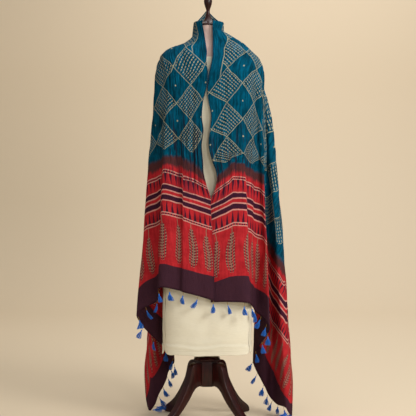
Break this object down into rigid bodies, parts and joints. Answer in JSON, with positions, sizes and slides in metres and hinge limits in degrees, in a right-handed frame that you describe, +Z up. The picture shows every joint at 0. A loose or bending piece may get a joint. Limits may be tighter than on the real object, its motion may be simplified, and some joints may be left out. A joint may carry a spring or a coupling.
{
  "type": "ajrakh shawl on a dress form",
  "caption": "Block-printed ajrakh shawl with tasselled ends, worn open-fronted over a cream-covered dress form on a dark cabriole-legged wooden foot.",
  "frame": {"origin": "centre of the bounding box, on the floor under the feet", "axes": "+Z up, the open front of the shawl faces -Y, +X is towards the longer tail, at the right as seen from the front"},
  "size_m": [0.6126, 0.4808, 1.694],
  "materials": {
    "ajrakh_cloth": "matt teal cloth with red printed ends and an aubergine hem",
    "tassel_thread": "soft blue thread",
    "cover_cloth": "plain cream cotton",
    "form_cloth": "pale pinkish jersey",
    "dark_wood": "glossy dark reddish-brown polish"
  },
  "bodies": {
    "root": {"shawl": "ajrakh_cloth", "tassel_left_01": "tassel_thread", "tassel_left_02": "tassel_thread", "tassel_left_03": "tassel_thread", "tassel_left_04": "tassel_thread", "tassel_left_05": "tassel_thread", "tassel_left_06": "tassel_thread", "tassel_left_07": "tassel_thread", "tassel_left_08": "tassel_thread", "tassel_left_09": "tassel_thread", "tassel_left_10": "tassel_thread", "tassel_left_11": "tassel_thread", "tassel_left_12": "tassel_thread", "tassel_left_13": "tassel_thread", "tassel_left_14": "tassel_thread", "tassel_left_15": "tassel_thread", "tassel_left_16": "tassel_thread", "tassel_left_17": "tassel_thread", "tassel_left_18": "tassel_thread", "tassel_left_19": "tassel_thread", "tassel_right_01": "tassel_thread", "tassel_right_02": "tassel_thread", "tassel_right_03": "tassel_thread", "tassel_right_04": "tassel_thread", "tassel_right_05": "tassel_thread", "tassel_right_06": "tassel_thread", "tassel_right_07": "tassel_thread", "tassel_right_08": "tassel_thread", "tassel_right_09": "tassel_thread", "tassel_right_10": "tassel_thread", "tassel_right_11": "tassel_thread", "tassel_right_12": "tassel_thread", "tassel_right_13": "tassel_thread", "tassel_right_14": "tassel_thread", "tassel_right_15": "tassel_thread", "tassel_right_16": "tassel_thread", "tassel_right_17": "tassel_thread", "tassel_right_18": "tassel_thread", "cover": "cover_cloth", "form": "form_cloth", "neck_cap": "dark_wood", "finial": "dark_wood", "pole": "dark_wood", "hub_plate": "dark_wood", "hub": "dark_wood", "leg_front_left": "dark_wood", "leg_front_right": "dark_wood", "leg_back_right": "dark_wood", "leg_back_left": "dark_wood"}
  },
  "joints": []
}
